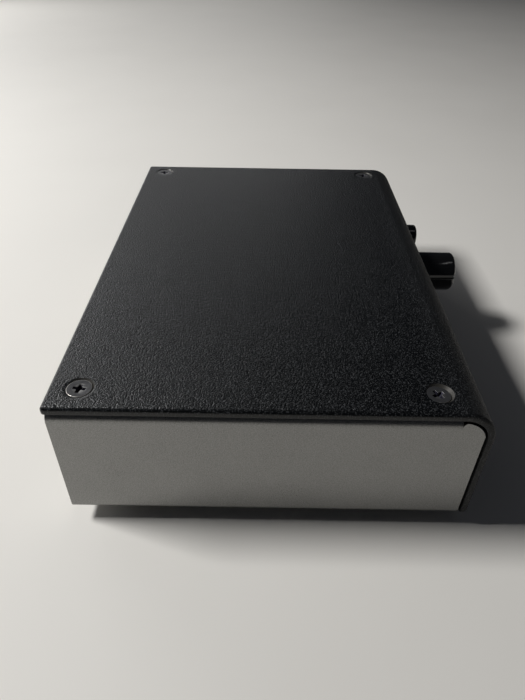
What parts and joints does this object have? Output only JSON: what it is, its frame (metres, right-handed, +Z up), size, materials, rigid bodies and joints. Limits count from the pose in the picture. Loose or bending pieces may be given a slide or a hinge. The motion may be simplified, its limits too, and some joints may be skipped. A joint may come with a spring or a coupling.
{
  "type": "passive preamplifier",
  "caption": "Small desktop passive preamplifier: a bent black cover on a grey tray, with a volume knob and a source button in front and phono jacks behind.",
  "frame": {"origin": "on the surface that the feet stand on, under the centre of the overall outline, knob and jacks included", "axes": "+X along the case's length, to the right seen from the front; the front panel faces -Y; +Z up"},
  "size_m": [0.127, 0.1086, 0.0351],
  "materials": {
    "cover_black": "finely textured black powder coat, low sheen",
    "chassis_grey": "smooth silver-grey paint, satin",
    "screw_black": "black zinc plating, worn bright on the edges",
    "zinc_steel": "clear zinc plating",
    "foot_rubber": "matte black rubber",
    "board_green": "green solder mask",
    "jack_black": "moulded, satin",
    "jack_nickel": "nickel plating",
    "jack_white": "moulded, smooth",
    "jack_red": "moulded, smooth",
    "contact_brass": "gold-coloured plating",
    "pin_tin": "tin plating",
    "bushing_zinc": "zinc die casting, bare",
    "pot_blue": "moulded, satin",
    "track_brown": "paper laminate",
    "shaft_aluminium": "turned, bare",
    "wiper_white": "moulded",
    "knob_black": "smooth, glossy black",
    "spring_steel": "bare spring steel",
    "switch_cream": "moulded",
    "plunger_white": "moulded",
    "button_black": "smooth, semi-gloss black"
  },
  "bodies": {
    "case": {"top_cover": "cover_black", "chassis": "chassis_grey", "cover_screws": "screw_black", "clinch_nuts": "zinc_steel", "rubber_feet": "foot_rubber", "board_standoffs": "zinc_steel", "board_screws": "zinc_steel", "circuit_board": "board_green", "jack_housings": "jack_black", "jack_sleeves": "jack_nickel", "jack_inserts_white": "jack_white", "jack_inserts_red": "jack_red", "jack_contacts": "contact_brass", "jack_pins": "pin_tin", "jack_screws": "screw_black", "volume_bushing": "bushing_zinc", "volume_housing": "pot_blue", "volume_tracks": "track_brown", "volume_terminals": "pin_tin", "switch_housing": "switch_cream", "switch_terminals": "pin_tin", "switch_latch_pin": "spring_steel", "switch_spring": "spring_steel"},
    "volume": {"volume_shaft": "shaft_aluminium", "volume_wipers": "wiper_white", "volume_knob": "knob_black", "knob_clip": "spring_steel"},
    "button": {"switch_plunger": "plunger_white", "switch_bridges": "contact_brass", "switch_button": "button_black"}
  },
  "joints": [
    {"name": "volume_turn", "type": "hinge", "parent": "case", "child": "volume", "pos_m": [0.0166, -0.0431, 0.0199], "axis": [0, 1, 0], "range_deg": [-71, 229]},
    {"name": "button_press", "type": "slide", "parent": "case", "child": "button", "axis": [0, 1, 0], "range_m": [0, 0.0025], "stiffness_N_per_m": 600, "springref_m": -0.0015, "deforming": ["switch_spring"]}
  ]
}
